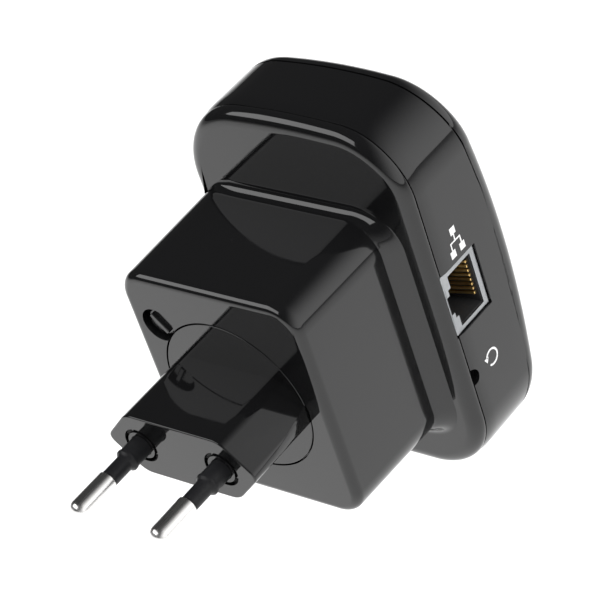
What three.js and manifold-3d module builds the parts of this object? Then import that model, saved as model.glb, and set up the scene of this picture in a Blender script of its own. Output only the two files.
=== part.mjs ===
// Plug-in wifi range extender with a twist-off two-pin plug head.
// Millimetres, +Z up. The origin is the middle of the plug's engagement face, between the pins.
// +Y runs into the wall socket, the front panel looks along -Y, and the LAN wall is on -X.
import * as THREE from 'three';
import { ParametricGeometry } from 'three/addons/geometries/ParametricGeometry.js';
import { mergeVertices } from 'three/addons/utils/BufferGeometryUtils.js';
import Module from 'manifold-3d';

const wasm = await Module();
wasm.setup();

// ---- driving dimensions ----
const GAP = 0.3;                    // room left between two pieces that touch
const WALL = 2.0;                   // moulded wall

// two-pin plug head
const PIN_X = 9.5;                  // pins stand at +X and -X of the axis
const PIN_LENGTH = 19;
const PIN_R = 2.0;
const PIN_BARE_FROM = 9.5;          // the insulated root ends here
const PIN_CORE_R = 1.0;
const PIN_TAIL_Y = -24.4;
const SLEEVE_R = 1.68;
const SLEEVE_COLLAR_R = 2.15;
const SLEEVE_COLLAR = 4.4;
const SLEEVE_ROOT_Y = -2.6;
const BOSS_FLAT_X = 11.1;           // half width of the boss's flat top
const BOSS_TIP_X = 17.9;
const BOSS_HALF_Z = 6.8;
const BOSS_TIP_CUT = 1.7;           // the corners are rounded off from here
const BOSS_CORNER_CUT = 1.6;
const DISC_R = 16.1;
const DISC_FACE_Y = -17.3;
const DISC_BACK_Y = -19.3;
const HUB_R = 13.0;
const HUB_BACK_Y = -23.4;
const LUG_R = 15.2;
const LUG_TOP_Y = -21.9;
const LUG_SPAN = 40;                // degrees, three lugs
const LUG_COUNT = 3;
const TWIST = 30;                   // degrees from locked to free

// release latch beside the disc
const LATCH_X = 14.4;
const LATCH_Z = 12.9;
const LATCH_R = 2.85;
const LATCH_TOP_Y = -18.3;
const LATCH_STROKE = 1.5;
const LATCH_ANGLE = Math.atan2(LATCH_Z, LATCH_X) * 180 / Math.PI;

// power block of the rear shell
const BLOCK_X = 21.0;
const BLOCK_Z = 24.2;
const BLOCK_R = 6.0;
const BLOCK_EDGE = 1.8;
const BLOCK_DRAFT = 0.5;
const BLOCK_FILLET = 2.4;
const END_WALL = 2.3;
const SEAT_FLOOR_Y = -19.6;
const SEAT_BACK_Y = -21.6;

// shell outline seen from the front, and its depth
const SHELL_PLUS_X = 22.5;
const SHELL_MINUS_X = -29.1;
const SHELL_TOP_Z = 41.3;
const SHELL_BOTTOM_Z = -35.3;
const SHELL_ARCH = 2.2;
const CORNER_R = { plusTop: 15.5, minusTop: 12.5, minusBottom: 14, plusBottom: 13 };
const REAR_FACE_Y = -43.5;
const SEAM_Y = -46.2;
const RIM_IN = 3.0;                 // the rear rim turns in this far over its rounding
const FRONT_Y = -67.4;              // crown of the front panel
const DOME_MID_X = -3.3;
const DOME_MID_Z = 5;
const DOME_R_X = 300;
const DOME_R_Z = 165;
const FRONT_ROUND = 3.0;
const FRONT_SEAM = 3.3;             // front seam lies this far behind the dome

// LAN jack
const JACK_FACE_X = -28.7;
const JACK_DEEP = 15.5;
const JACK_Y = [-56.45, -45.95];
const JACK_Z = [-2.2, 11.3];
const SHEET = 0.4;
const CONTACT_COUNT = 8;
const CONTACT_PITCH = 1.02;

// reset key, front button, lights
const RESET_Z = -12.2;
const RESET_Y = -47.4;
const RESET_HOLE_R = 1.75;
const RESET_STROKE = 0.3;
const BUTTON_X = DOME_MID_X;
const BUTTON_Z = -14;
const BUTTON_R = 4.4;
const BUTTON_STROKE = 0.6;
const LIGHT_Z = 22;
const LIGHT_XS = [-10.3, -3.3, 3.7];
const LIGHT_R = 1.3;

// boards
const BOARD_T = 1.6;
const MAIN_BOARD_Y = -56.8;         // face towards the wall
const POWER_BOARD_Y = -41.4;        // face towards the wall
const POSTS = [[14.5, 30], [-22, 33], [-18, -27.5], [12.5, -27]];
const POST_R = 2.6;

// ---- geometry helpers ----
function signedVolume(position, index) {
  const [a, b, c] = [new THREE.Vector3(), new THREE.Vector3(), new THREE.Vector3()];
  let volume = 0;
  for (let i = 0; i < index.length; i += 3) {
    a.fromBufferAttribute(position, index[i]);
    b.fromBufferAttribute(position, index[i + 1]);
    c.fromBufferAttribute(position, index[i + 2]);
    volume += a.dot(b.cross(c)) / 6;
  }
  return volume;
}

// Turns a three.js geometry into a manifold solid whose faces point out.
function solid(geometry) {
  const plain = geometry.clone();
  plain.deleteAttribute('normal');
  plain.deleteAttribute('uv');
  const merged = mergeVertices(plain, 1e-5);
  const all = Array.from(merged.index.array);
  const kept = [];
  for (let i = 0; i < all.length; i += 3) {
    const [a, b, c] = all.slice(i, i + 3);
    if (a !== b && b !== c && c !== a) kept.push(a, b, c);
  }
  if (signedVolume(merged.attributes.position, kept) < 0) kept.reverse();
  return new wasm.Manifold(new wasm.Mesh({
    numProp: 3,
    vertProperties: new Float32Array(merged.attributes.position.array),
    triVerts: new Uint32Array(kept),
  }));
}

function geometryOf(manifold) {
  const mesh = manifold.getMesh();
  const geometry = new THREE.BufferGeometry();
  geometry.setAttribute('position', new THREE.BufferAttribute(mesh.vertProperties, 3));
  geometry.setIndex(new THREE.BufferAttribute(mesh.triVerts, 1));
  geometry.computeVertexNormals();
  return geometry;
}

function box([x0, x1], [y0, y1], [z0, z1]) {
  const geometry = new THREE.BoxGeometry(x1 - x0, y1 - y0, z1 - z0);
  geometry.translate((x0 + x1) / 2, (y0 + y1) / 2, (z0 + z1) / 2);
  return solid(geometry);
}

// Cylinder along Y through (x, z).
function rod(x, z, radius, [y0, y1], sides = 20) {
  const geometry = new THREE.CylinderGeometry(radius, radius, y1 - y0, sides);
  geometry.translate(x, (y0 + y1) / 2, z);
  return solid(geometry);
}

// Cylinder along X through (y, z).
function crossRod(y, z, radius, [x0, x1], sides = 24) {
  const geometry = new THREE.CylinderGeometry(radius, radius, x1 - x0, sides);
  geometry.rotateZ(Math.PI / 2);
  geometry.translate((x0 + x1) / 2, y, z);
  return solid(geometry);
}

// Shape drawn in X and Z, extruded along Y.
function slab(shape, [y0, y1], steps = 6) {
  const geometry = new THREE.ExtrudeGeometry(shape, { depth: y1 - y0, bevelEnabled: false, curveSegments: steps });
  geometry.rotateX(Math.PI / 2);
  geometry.translate(0, y1, 0);
  return solid(geometry);
}

// Polygon in X and Z whose corners, given as [x, z, cut], are rounded from `cut` before to `cut` after.
function softPolygon(corners) {
  const shape = new THREE.Shape();
  corners.forEach(([x, z, cut], k) => {
    const corner = new THREE.Vector2(x, z);
    const towards = ([nextX, nextZ]) => new THREE.Vector2(nextX, nextZ).sub(corner).setLength(cut).add(corner);
    const start = towards(corners.at(k - 1));
    const end = towards(corners[(k + 1) % corners.length]);
    if (k === 0) shape.moveTo(start.x, start.y);
    else shape.lineTo(start.x, start.y);
    shape.quadraticCurveTo(x, z, end.x, end.y);
  });
  shape.closePath();
  return shape;
}

// Shape drawn in X and Y, extruded along Z.
function strip(points, [z0, z1]) {
  const shape = new THREE.Shape(points.map(([x, y]) => new THREE.Vector2(x, y)));
  const geometry = new THREE.ExtrudeGeometry(shape, { depth: z1 - z0, bevelEnabled: false });
  geometry.translate(0, 0, z0);
  return solid(geometry);
}

// Turned piece about the Y axis line through (x, z); the profile is [radius, y] points.
function turned(profile, x = 0, z = 0, sides = 18) {
  const points = profile.map(([radius, y]) => new THREE.Vector2(radius, y));
  const geometry = new THREE.LatheGeometry(points, sides);
  geometry.translate(x, 0, z);
  return solid(geometry);
}

// Ring sector about the Y axis, angles in degrees from +X towards +Z.
function sector(inner, outer, from, to, ys) {
  const [a, b] = [THREE.MathUtils.degToRad(from), THREE.MathUtils.degToRad(to)];
  const shape = new THREE.Shape();
  shape.absarc(0, 0, outer, a, b, false);
  shape.absarc(0, 0, inner, b, a, true);
  return slab(shape, ys, 12);
}

function joined(solids) {
  return solids.reduce((sum, piece) => sum.add(piece));
}

// ---- lofted rings: every ring has the same points, moved in by an inset ----
const ARC_STEPS = 8;
const EDGE_STEPS = 6;
const RING_POINTS = 4 * (ARC_STEPS + EDGE_STEPS);

// One point of a rounded outline. corners run +X top, -X top, -X bottom, +X bottom.
function outlinePoint(corners, k, inset) {
  const leg = ARC_STEPS + EDGE_STEPS;
  const corner = Math.floor(k / leg);
  const step = k % leg;
  const at = (index, degrees) => {
    const { x, z, r } = corners[index % 4];
    const angle = THREE.MathUtils.degToRad(degrees);
    return [x + (r - inset) * Math.cos(angle), z + (r - inset) * Math.sin(angle)];
  };
  if (step <= ARC_STEPS) return at(corner, 90 * (corner + step / ARC_STEPS));
  const t = (step - ARC_STEPS) / EDGE_STEPS;
  const [x0, z0] = at(corner, 90 * (corner + 1));
  const [x1, z1] = at(corner + 1, 90 * (corner + 1));
  return [x0 + (x1 - x0) * t, z0 + (z1 - z0) * t];
}

// Closed surface through sections of { inset, scale, y }, where y may depend on x and z.
function loft(point, sections, centre, loop = false) {
  const last = loop ? sections.length : sections.length - 1;
  const surface = (u, v, target) => {
    const { inset = 0, scale = 1, y } = sections[Math.round(v * last) % sections.length];
    const [px, pz] = point(Math.round(u * RING_POINTS) % RING_POINTS, inset);
    const x = centre[0] + (px - centre[0]) * scale;
    const z = centre[1] + (pz - centre[1]) * scale;
    target.set(x, typeof y === 'function' ? y(x, z) : y, z);
  };
  return solid(new ParametricGeometry(surface, RING_POINTS, last));
}

const shellCorners = [
  { x: SHELL_PLUS_X - CORNER_R.plusTop, z: SHELL_TOP_Z - CORNER_R.plusTop, r: CORNER_R.plusTop },
  { x: SHELL_MINUS_X + CORNER_R.minusTop, z: SHELL_TOP_Z - CORNER_R.minusTop, r: CORNER_R.minusTop },
  { x: SHELL_MINUS_X + CORNER_R.minusBottom, z: SHELL_BOTTOM_Z + CORNER_R.minusBottom, r: CORNER_R.minusBottom },
  { x: SHELL_PLUS_X - CORNER_R.plusBottom, z: SHELL_BOTTOM_Z + CORNER_R.plusBottom, r: CORNER_R.plusBottom },
];

// The shell's upper half swells into a low arch across its width.
function shellPoint(k, inset) {
  const [x, z] = outlinePoint(shellCorners, k, inset);
  const across = (2 * x - SHELL_PLUS_X - SHELL_MINUS_X) / (SHELL_PLUS_X - SHELL_MINUS_X);
  return [x, z + SHELL_ARCH * Math.max(0, z / SHELL_TOP_Z) * (1 - across ** 2)];
}
const shellCentre = [DOME_MID_X, DOME_MID_Z];

const blockCorners = [[1, 1], [-1, 1], [-1, -1], [1, -1]].map(([sx, sz]) => (
  { x: sx * (BLOCK_X - BLOCK_R), z: sz * (BLOCK_Z - BLOCK_R), r: BLOCK_R }));

// The root fillet runs round three sides and dies out towards +X, where the block meets the rim.
function blockPoint(k, inset) {
  const [x, z] = outlinePoint(blockCorners, k, Math.max(inset, -BLOCK_DRAFT));
  if (inset >= -BLOCK_DRAFT) return [x, z];
  const [outX, outZ] = outlinePoint(blockCorners, k, inset);
  const share = THREE.MathUtils.smoothstep(BLOCK_X - x, 1, 9);
  return [x + (outX - x) * share, z + (outZ - z) * share];
}

// Straight-sided body of the shell's outline between two heights.
function shellPrism(inset, [y0, y1]) {
  const ends = [{ inset, scale: 0, y: y0 }, { inset, y: y0 }, { inset, y: y1 }, { inset, scale: 0, y: y1 }];
  return loft(shellPoint, ends, shellCentre);
}

// Quarter round: steps of [inwards, along] from 0 to 1.
const quarter = (steps) => Array.from({ length: steps + 1 }, (_, k) => {
  const angle = (k / steps) * Math.PI / 2;
  return [1 - Math.cos(angle), Math.sin(angle)];
});

const dome = (x, z) => FRONT_Y + (x - DOME_MID_X) ** 2 / (2 * DOME_R_X) + (z - DOME_MID_Z) ** 2 / (2 * DOME_R_Z);
const behindDome = (depth) => (x, z) => dome(x, z) + depth;

// ---- the assembly ----
const extender = new THREE.Group();

function place(name, shape, color, roughness, metalness = 0) {
  const material = new THREE.MeshStandardMaterial({ color, roughness, metalness });
  const mesh = new THREE.Mesh(geometryOf(shape), material);
  mesh.name = name;
  extender.add(mesh);
}

const GLOSS_BLACK = 0x0b0b0c;
const STEEL = 0xc9cbcd;
const BOARD_GREEN = 0x1d5a34;
const GOLD = 0xd8b04a;

// Rear shell: the plate behind the seam with its rounded rim, and the drafted power block.
function rearShell() {
  const rimDepth = REAR_FACE_Y - SEAM_Y - GAP / 2;
  const rim = quarter(5).map(([inwards, along]) => (
    { inset: GAP + RIM_IN * inwards, y: SEAM_Y + GAP / 2 + rimDepth * along }));
  const plate = loft(shellPoint, [
    { inset: GAP, scale: 0, y: SEAM_Y + GAP / 2 },
    ...rim,
    { inset: GAP + RIM_IN, scale: 0, y: REAR_FACE_Y },
  ], shellCentre);

  const fillet = quarter(4).map(([inwards, along]) => (
    { inset: -BLOCK_DRAFT - BLOCK_FILLET * (1 - along), y: REAR_FACE_Y + BLOCK_FILLET * inwards }));
  const edge = quarter(5).map(([inwards, along]) => (
    { inset: BLOCK_EDGE * inwards, y: DISC_FACE_Y - BLOCK_EDGE * (1 - along) }));
  const block = loft(blockPoint, [
    { inset: -BLOCK_DRAFT - BLOCK_FILLET, scale: 0, y: REAR_FACE_Y - 1 },
    { inset: -BLOCK_DRAFT - BLOCK_FILLET, y: REAR_FACE_Y - 1 },
    ...fillet,
    ...edge,
    { inset: BLOCK_EDGE, scale: 0, y: DISC_FACE_Y },
  ], [0, 0]);

  const plateRoom = shellPrism(GAP + WALL, [SEAM_Y - 2, REAR_FACE_Y - WALL]);
  const blockRoom = box(
    [-BLOCK_X + WALL, BLOCK_X - WALL],
    [SEAM_Y - 2, DISC_FACE_Y - END_WALL],
    [-BLOCK_Z + WALL, BLOCK_Z - WALL],
  );
  const posts = POSTS.map(([x, z]) => rod(x, z, POST_R, [MAIN_BOARD_Y + GAP, REAR_FACE_Y - 0.5]));
  const seat = rod(0, 0, DISC_R + 3, [SEAT_BACK_Y, DISC_FACE_Y - 0.5], 64);
  const shelf = box([LATCH_X - 4, BLOCK_X - 0.5], [-32.6, -31.0], [LATCH_Z - 3.5, LATCH_Z + 3.5]);
  const guide = rod(LATCH_X, LATCH_Z, LATCH_R + 1.9, [SEAT_BACK_Y, DISC_FACE_Y - 0.5], 32);

  const body = joined([plate, block]).subtract(joined([plateRoom, blockRoom]));
  const fitted = joined([body, seat, shelf, guide, ...posts]);
  const notches = Array.from({ length: LUG_COUNT }, (_, k) => {
    const from = LATCH_ANGLE + 10 + TWIST - 2 + k * 360 / LUG_COUNT;
    return sector(HUB_R - 1, LUG_R + 0.5, from, from + LUG_SPAN + 4, [SEAT_BACK_Y - 1, SEAT_FLOOR_Y + 1]);
  });
  return fitted.subtract(joined([
    rod(0, 0, DISC_R + 0.4, [SEAT_FLOOR_Y, 0], 64),
    rod(0, 0, HUB_R + 0.5, [SEAT_BACK_Y - 1, 0], 48),
    ...notches,
    rod(LATCH_X, LATCH_Z, LATCH_R + 0.45, [SEAT_BACK_Y - 1, 0], 32),
    rod(LATCH_X, LATCH_Z, 1.5, [-34, -30]),
    ...POSTS.map(([x, z]) => rod(x, z, 1.1, [MAIN_BOARD_Y - 1, MAIN_BOARD_Y + 8], 16)),
    box([JACK_FACE_X - 3, -14], [SEAM_Y - 2, JACK_Y[1] + GAP], [JACK_Z[0] - GAP, JACK_Z[1] + GAP]),
  ]));
}
place('rear_shell', rearShell(), GLOSS_BLACK, 0.12);

// Side frame: the band between the two seams, open front and back, with the jack's window.
function sideFrame() {
  const back = SEAM_Y - GAP / 2;
  const band = loft(shellPoint, [
    { inset: GAP, y: back },
    { inset: 0.05, y: back - 1.2 },
    { inset: 0, y: back - 5 },
    { inset: 0, y: behindDome(FRONT_SEAM + GAP / 2) },
    { inset: WALL, y: behindDome(FRONT_SEAM + GAP / 2) },
    { inset: WALL, y: back },
  ], shellCentre, true);
  const window = box(
    [SHELL_MINUS_X - 2, SHELL_MINUS_X + WALL + 2],
    [JACK_Y[0] - 0.35, 0],
    [JACK_Z[0] - 0.35, JACK_Z[1] + 0.35],
  );
  const resetHole = crossRod(SEAM_Y, RESET_Z, RESET_HOLE_R, [SHELL_MINUS_X - 2, SHELL_MINUS_X + WALL + 2]);
  return band.subtract(window).subtract(resetHole);
}
place('side_frame', sideFrame(), GLOSS_BLACK, 0.12);

// Front panel: domed skin with a rounded edge, a round button hole and three light holes.
function frontPanel() {
  const edgeOut = quarter(5).reverse().map(([inwards, along]) => (
    { inset: FRONT_ROUND * inwards, y: behindDome(FRONT_SEAM - GAP / 2 - (FRONT_SEAM - GAP / 2) * along) }));
  const skin = loft(shellPoint, [
    ...[0, 0.35, 0.7].map((scale) => ({ inset: FRONT_ROUND, scale, y: dome })),
    ...edgeOut,
    { inset: WALL, y: behindDome(FRONT_SEAM - GAP / 2) },
    { inset: WALL + 0.8, y: behindDome(WALL) },
    ...[0.7, 0.35, 0].map((scale) => ({ inset: WALL + 0.8, scale, y: behindDome(WALL) })),
  ], shellCentre);
  return skin.subtract(joined([
    rod(BUTTON_X, BUTTON_Z, BUTTON_R + 0.35, [FRONT_Y - 2, FRONT_Y + 8], 40),
    ...LIGHT_XS.map((x) => rod(x, LIGHT_Z, LIGHT_R + 0.3, [FRONT_Y - 2, FRONT_Y + 8])),
  ]));
}
place('front_panel', frontPanel(), GLOSS_BLACK, 0.1);

// Plug head: hexagonal boss, flush disc, and a hub with three bayonet lugs behind it.
function bossShape(inset) {
  const z = BOSS_HALF_Z - inset;
  const flat = BOSS_FLAT_X - inset * 0.4;
  const tip = flat + z * (BOSS_TIP_X - BOSS_FLAT_X) / BOSS_HALF_Z;
  return softPolygon([
    [flat, z, BOSS_CORNER_CUT], [-flat, z, BOSS_CORNER_CUT], [-tip, 0, BOSS_TIP_CUT],
    [-flat, -z, BOSS_CORNER_CUT], [flat, -z, BOSS_CORNER_CUT], [tip, 0, BOSS_TIP_CUT],
  ]);
}

function plugHead() {
  // The boss narrows to the disc's edge at its foot.
  const taper = turned([
    [0, DISC_BACK_Y], [DISC_R, DISC_BACK_Y], [DISC_R, DISC_FACE_Y], [BOSS_TIP_X, 0], [0, 0],
  ], 0, 0, 64);
  const lugs = Array.from({ length: LUG_COUNT }, (_, k) => {
    const from = LATCH_ANGLE + 10 + k * 360 / LUG_COUNT;
    return sector(HUB_R - 1, LUG_R, from, from + LUG_SPAN, [HUB_BACK_Y, LUG_TOP_Y]);
  });
  const body = joined([
    slab(bossShape(0), [DISC_BACK_Y, 0]).intersect(taper),
    rod(0, 0, DISC_R, [DISC_BACK_Y, DISC_FACE_Y], 64),
    rod(0, 0, HUB_R, [HUB_BACK_Y, DISC_BACK_Y + 0.5], 48),
    ...lugs,
  ]);
  const hollow = slab(bossShape(WALL + 0.4), [HUB_BACK_Y - 1, -3.6]).intersect(rod(0, 0, HUB_R - WALL, [-30, 0], 48));
  const bosses = [PIN_X, -PIN_X].map((x) => rod(x, 0, 3.2, [HUB_BACK_Y, -3]));
  const holes = [PIN_X, -PIN_X].flatMap((x) => [
    rod(x, 0, PIN_CORE_R + GAP, [HUB_BACK_Y - 1, 1]),
    rod(x, 0, SLEEVE_COLLAR_R + 0.25, [SLEEVE_ROOT_Y - GAP, 1]),
    rod(x, 0, 3.6, [-0.5, 1], 32).subtract(rod(x, 0, 3.1, [-1, 2], 32)),
  ]);
  return joined([body.subtract(hollow), ...bosses]).subtract(joined(holes));
}
place('plug_head', plugHead(), GLOSS_BLACK, 0.14);

for (const [side, x] of [['left', PIN_X], ['right', -PIN_X]]) {
  const nose = quarter(5).map(([inwards, along]) => [PIN_R * (1 - inwards), PIN_LENGTH - PIN_R * 0.8 * (1 - along)]);
  const pin = turned([
    [0, PIN_TAIL_Y], [PIN_CORE_R, PIN_TAIL_Y], [PIN_CORE_R, PIN_BARE_FROM + GAP / 2],
    [PIN_R, PIN_BARE_FROM + GAP / 2], ...nose,
  ], x, 0, 24);
  place(`pin_${side}`, pin, STEEL, 0.25, 1);
  const [inner, root] = [PIN_CORE_R + GAP, SLEEVE_ROOT_Y];
  const sleeve = turned([
    [inner, root], [SLEEVE_COLLAR_R, root], [SLEEVE_COLLAR_R, SLEEVE_COLLAR], [SLEEVE_R, SLEEVE_COLLAR + 0.4],
    [SLEEVE_R, PIN_BARE_FROM - GAP / 2], [inner, PIN_BARE_FROM - GAP / 2], [inner, root],
  ], x);
  place(`pin_sleeve_${side}`, sleeve, 0x141415, 0.45);
}

// Release latch: round key with a slanted rib, a flange behind the wall, and a locking tongue.
function releaseLatch() {
  const rib = box([-0.55, 0.55], [LATCH_TOP_Y - 1, LATCH_TOP_Y + 0.7], [-LATCH_R + 0.5, LATCH_R - 0.5]);
  const turnedRib = rib.rotate([0, 38, 0]).translate([LATCH_X, 0, LATCH_Z]);
  const outwards = Math.hypot(LATCH_X, LATCH_Z);
  const tongue = box([HUB_R + 0.6, outwards], [-23.2, -22.0], [-1.3, 1.3]).rotate([0, -LATCH_ANGLE, 0]);
  return joined([
    rod(LATCH_X, LATCH_Z, LATCH_R, [-22.6, LATCH_TOP_Y], 32),
    rod(LATCH_X, LATCH_Z, LATCH_R + 0.9, [-23.2, -22.0], 32),
    rod(LATCH_X, LATCH_Z, 1.2, [-31.6, -23.0]),
    turnedRib,
    tongue,
  ]);
}
place('release_latch', releaseLatch(), GLOSS_BLACK, 0.25);

// Compression spring round the latch stem.
function coilSpring(x, z, radius, wire, turns, [y0, y1]) {
  const points = Array.from({ length: turns * 10 + 1 }, (_, k) => {
    const angle = (k / 10) * 2 * Math.PI;
    const y = y1 - wire + (y0 + 2 * wire - y1) * (k / (turns * 10));
    return new THREE.Vector3(x + radius * Math.cos(angle), y, z + radius * Math.sin(angle));
  });
  const section = new THREE.Shape();
  section.absarc(0, 0, wire / 2, 0, 2 * Math.PI, false);
  const path = new THREE.CatmullRomCurve3(points);
  return solid(new THREE.ExtrudeGeometry(section, { steps: turns * 10, extrudePath: path, curveSegments: 3 }));
}
place('latch_spring', coilSpring(LATCH_X, LATCH_Z, 1.95, 0.45, 5, [-29.2, -23.5]), STEEL, 0.3, 1);

// Leaf springs that meet the pin tails and carry the mains down to the power board.
for (const [side, sign] of [['left', 1], ['right', -1]]) {
  const leaf = [
    [7.6, -25.2], [12.6, -25.2], [14.6, -26.6], [14.6, -41.1], [14.1, -41.1],
    [14.1, -26.9], [12.4, -25.7], [7.6, -25.7],
  ].map(([x, y]) => [sign * x, y + 0.4]);
  place(`contact_spring_${side}`, strip(leaf, [-1.6, 1.6]), 0xc08a4a, 0.3, 1);
}

// Mains board and what stands on it.
const powerTop = POWER_BOARD_Y + GAP;
place('power_board', box([-18.4, 18.4], [POWER_BOARD_Y - BOARD_T, POWER_BOARD_Y], [-21.6, 21.6]), BOARD_GREEN, 0.6);

function transformerCore() {
  const outer = box([-14, 3], [powerTop, powerTop + 13], [-19.5, -5.5]);
  return outer.subtract(box([-12, 1], [powerTop + 2.6, powerTop + 10.4], [-21, -4]));
}
place('transformer_core', transformerCore(), 0x2b2b2d, 0.7);
const winding = box([-11.7, 0.7], [powerTop + 2.9, powerTop + 10.1], [-20.4, -4.6]);
place('transformer_winding', winding, 0xd7b323, 0.45);

// Radial can standing on a board, with the groove round its open end.
function canCapacitor(x, z, radius, height) {
  return turned([
    [0, powerTop], [radius - 0.3, powerTop], [radius, powerTop + 0.5], [radius, powerTop + 1.4],
    [radius - 0.4, powerTop + 1.9], [radius, powerTop + 2.4], [radius, powerTop + height - 0.4],
    [radius - 0.4, powerTop + height], [0, powerTop + height],
  ], x, z, 20);
}
place('bulk_capacitor_1', canCapacitor(-12.5, 13.5, 4.0, 14), 0x20242c, 0.4);
place('bulk_capacitor_2', canCapacitor(-3.2, 13.5, 4.0, 14), 0x20242c, 0.4);
place('output_capacitor', canCapacitor(13, -15, 4.0, 11), 0x1d3a6b, 0.4);

function dropCoil(x, z) {
  return turned([
    [0, powerTop], [3.6, powerTop], [3.6, powerTop + 1.2], [2.9, powerTop + 1.6],
    [2.9, powerTop + 6.4], [3.6, powerTop + 6.8], [3.6, powerTop + 8], [0, powerTop + 8],
  ], x, z, 20);
}
place('choke_coil', dropCoil(5.2, 14), 0x5b3a26, 0.6);
const fuseProfile = [[0, -4.2], [1.3, -4.2], [1.7, -3.6], [1.7, 3.6], [1.3, 4.2], [0, 4.2]];
const fuse = turned(fuseProfile).rotate([90, 0, 0]).translate([5.6, powerTop + 2.2, 2]);
place('fuse_resistor', fuse, 0x6e8f86, 0.6);
place('bridge_rectifier', box([-6, 1], [powerTop, powerTop + 2.4], [-1.5, 3.6]), 0x17181a, 0.5);
place('supply_chip', box([6.4, 11.2], [powerTop, powerTop + 1.6], [-10.5, -6.3]), 0x17181a, 0.5);
place('rectifier_diode', box([6.2, 8.8], [powerTop, powerTop + 2.2], [-19, -14]), 0x17181a, 0.5);

// Main board, held on four posts of the rear shell.
function mainBoard() {
  const holes = POSTS.map(([x, z]) => rod(x, z, 1.2, [MAIN_BOARD_Y - 3, MAIN_BOARD_Y + 1], 16));
  return shellPrism(3.4, [MAIN_BOARD_Y - BOARD_T, MAIN_BOARD_Y]).subtract(joined(holes));
}
place('main_board', mainBoard(), BOARD_GREEN, 0.6);

POSTS.forEach(([x, z], k) => {
  const under = MAIN_BOARD_Y - BOARD_T - GAP;
  const screw = turned([
    [0, under - 1.2], [1.3, under - 1.2], [1.9, under - 0.7], [1.9, under], [0.8, under],
    [0.8, MAIN_BOARD_Y + 6.2], [0.2, MAIN_BOARD_Y + 7.0], [0, MAIN_BOARD_Y + 7.0],
  ], x, z, 12);
  const slot = box([x - 1.1, x + 1.1], [under - 2, under - 0.7], [z - 0.2, z + 0.2]);
  const cross = box([x - 0.2, x + 0.2], [under - 2, under - 0.7], [z - 1.1, z + 1.1]);
  place(`board_screw_${k + 1}`, screw.subtract(slot).subtract(cross), STEEL, 0.35, 1);
});

const boardRoom = MAIN_BOARD_Y + GAP;
place('board_link', box([6.5, 16.5], [boardRoom, POWER_BOARD_Y - BOARD_T - GAP], [-18.4, -15.8]), 0x1a1a1c, 0.5);

function shieldCan() {
  const outer = box([-9, 11], [boardRoom, boardRoom + 2.8], [19, 36]);
  return outer.subtract(box([-8.6, 10.6], [boardRoom - 1, boardRoom + 2.4], [19.4, 35.6]));
}
place('rf_shield_can', shieldCan(), STEEL, 0.4, 1);
place('wifi_chip', box([-3.5, 5.5], [boardRoom, boardRoom + 1.2], [23, 32]), 0x17181a, 0.5);
place('lan_magnetics', box([-10, 3], [boardRoom, boardRoom + 5], [-1.5, 9.5]), 0x17181a, 0.5);
place('flash_chip', box([6.5, 11.7], [boardRoom, boardRoom + 1.6], [6, 10]), 0x17181a, 0.5);

// Stamped antennas: one along the +X edge, one along the top edge, each with a bent foot.
function antenna(long, [x, z]) {
  const y = [boardRoom, boardRoom + 5.5];
  const upright = long === 'z' ? box([x, x + 0.4], y, [z, z + 24]) : box([x, x + 22], y, [z, z + 0.4]);
  const slot = long === 'z' ? box([x - 1, x + 1], [y[0] + 2, y[0] + 3], [z + 5, z + 25])
    : box([x + 5, x + 23], [y[0] + 2, y[0] + 3], [z - 1, z + 1]);
  const foot = long === 'z' ? box([x - 2, x + 0.4], [y[0], y[0] + 0.4], [z + 1, z + 4])
    : box([x + 1, x + 4], [y[0], y[0] + 0.4], [z - 2, z + 0.4]);
  return joined([upright.subtract(slot), foot]);
}
place('antenna_side', antenna('z', [17.2, -14]), STEEL, 0.35, 1);
place('antenna_top', antenna('x', [-16, 39]), STEEL, 0.35, 1);

// LAN jack: folded steel shield, black insert with the plug's room and latch notch, eight contacts.
const JACK_BACK_X = JACK_FACE_X + JACK_DEEP;
const PORT_Y = [-55.3, -48.2];
const PORT_Z = [-1.25, 10.35];
const PORT_BACK_X = JACK_FACE_X + 12;
const PORT_MID_Z = (PORT_Z[0] + PORT_Z[1]) / 2;

function jackShield() {
  const [y0, y1] = JACK_Y;
  const [z0, z1] = JACK_Z;
  const outer = box([JACK_FACE_X, JACK_BACK_X], [y0, y1], [z0, z1]);
  return outer.subtract(box([JACK_FACE_X - 1, JACK_BACK_X - SHEET], [y0 + SHEET, y1 - SHEET], [z0 + SHEET, z1 - SHEET]));
}
place('rj45_shield', jackShield(), STEEL, 0.3, 1);

function jackInsert() {
  const room = SHEET + 0.2;
  const outer = box(
    [JACK_FACE_X + 0.2, JACK_BACK_X - room],
    [JACK_Y[0] + room, JACK_Y[1] - room],
    [JACK_Z[0] + room, JACK_Z[1] - room],
  );
  const port = box([JACK_FACE_X - 1, PORT_BACK_X], PORT_Y, PORT_Z);
  const notch = box([JACK_FACE_X - 1, PORT_BACK_X - 3], [PORT_Y[1] - 0.5, PORT_Y[1] + 1.1], [PORT_MID_Z - 3.1, PORT_MID_Z + 3.1]);
  return outer.subtract(port).subtract(notch);
}
place('rj45_insert', jackInsert(), 0x101011, 0.5);

for (let k = 0; k < CONTACT_COUNT; k += 1) {
  const z = PORT_MID_Z + (k - (CONTACT_COUNT - 1) / 2) * CONTACT_PITCH;
  const wire = [
    [JACK_FACE_X + 1.4, -54.9], [JACK_FACE_X + 2.2, -55.0], [PORT_BACK_X - 0.3, -53.8],
    [PORT_BACK_X - 0.3, -53.4], [JACK_FACE_X + 2.2, -54.6], [JACK_FACE_X + 1.4, -54.5],
  ];
  place(`rj45_contact_${k + 1}`, strip(wire, [z - 0.23, z + 0.23]), GOLD, 0.25, 1);
}

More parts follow.
